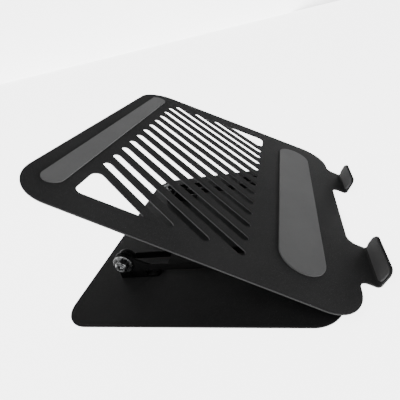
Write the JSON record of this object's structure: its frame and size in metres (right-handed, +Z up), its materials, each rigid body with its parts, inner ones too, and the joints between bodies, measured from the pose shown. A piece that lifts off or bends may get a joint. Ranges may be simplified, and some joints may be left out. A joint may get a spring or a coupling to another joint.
{
  "type": "laptop stand",
  "caption": "Folding laptop stand: a slotted, sloping steel tray with two front hooks on two hinged channel arms above a flat steel base with rubber feet.",
  "frame": {"origin": "under the middle of the stand at rest, on the surface that it stands on", "axes": "+Z up, +X to the user's right, -Y towards the user and the hooks"},
  "size_m": [0.264, 0.2548, 0.135],
  "materials": {
    "plates": "matte",
    "arms_and_brackets": "matte",
    "rivets": "matte",
    "zinc_hardware": "bright zinc",
    "friction_washers": "matte",
    "tray_pads": "matte",
    "hook_pads": "matte",
    "rubber_feet": "matte"
  },
  "bodies": {
    "base": {"base_plate": "plates", "foot_front_left": "rubber_feet", "foot_front_right": "rubber_feet", "foot_rear_left": "rubber_feet", "foot_rear_right": "rubber_feet", "base_bracket_left": "arms_and_brackets", "base_bracket_right": "arms_and_brackets", "base_rivets_left": "rivets", "base_rivets_right": "rivets"},
    "arms": {"arm_left": "arms_and_brackets", "arm_right": "arms_and_brackets", "lower_bolt_left": "zinc_hardware", "lower_bolt_right": "zinc_hardware", "lower_washer_left": "zinc_hardware", "lower_washer_right": "zinc_hardware", "lower_friction_washers_left": "friction_washers", "lower_friction_washers_right": "friction_washers", "lower_nut_left": "zinc_hardware", "lower_nut_right": "zinc_hardware", "upper_bolt_left": "zinc_hardware", "upper_bolt_right": "zinc_hardware", "upper_washer_left": "zinc_hardware", "upper_washer_right": "zinc_hardware", "upper_friction_washers_left": "friction_washers", "upper_friction_washers_right": "friction_washers", "upper_nut_left": "zinc_hardware", "upper_nut_right": "zinc_hardware", "lower_cap_left": "plates", "lower_cap_right": "plates", "upper_cap_left": "plates", "upper_cap_right": "plates"},
    "tray": {"tray_bracket_left": "arms_and_brackets", "tray_bracket_right": "arms_and_brackets", "tray_rivets_left": "rivets", "tray_rivets_right": "rivets", "tray_plate": "plates", "front_pad": "tray_pads", "rear_pad": "tray_pads", "hook_pad_left": "hook_pads", "hook_pad_right": "hook_pads"}
  },
  "joints": [
    {"name": "arm_lift", "type": "hinge", "parent": "base", "child": "arms", "pos_m": [0, 0.08589, 0.0232], "axis": [-1, 0, 0], "range_deg": [0, 40]},
    {"name": "tray_tilt", "type": "hinge", "parent": "arms", "child": "tray", "pos_m": [0, -0.04261, 0.0232], "axis": [1, 0, 0], "range_deg": [-31.1, 0]}
  ]
}
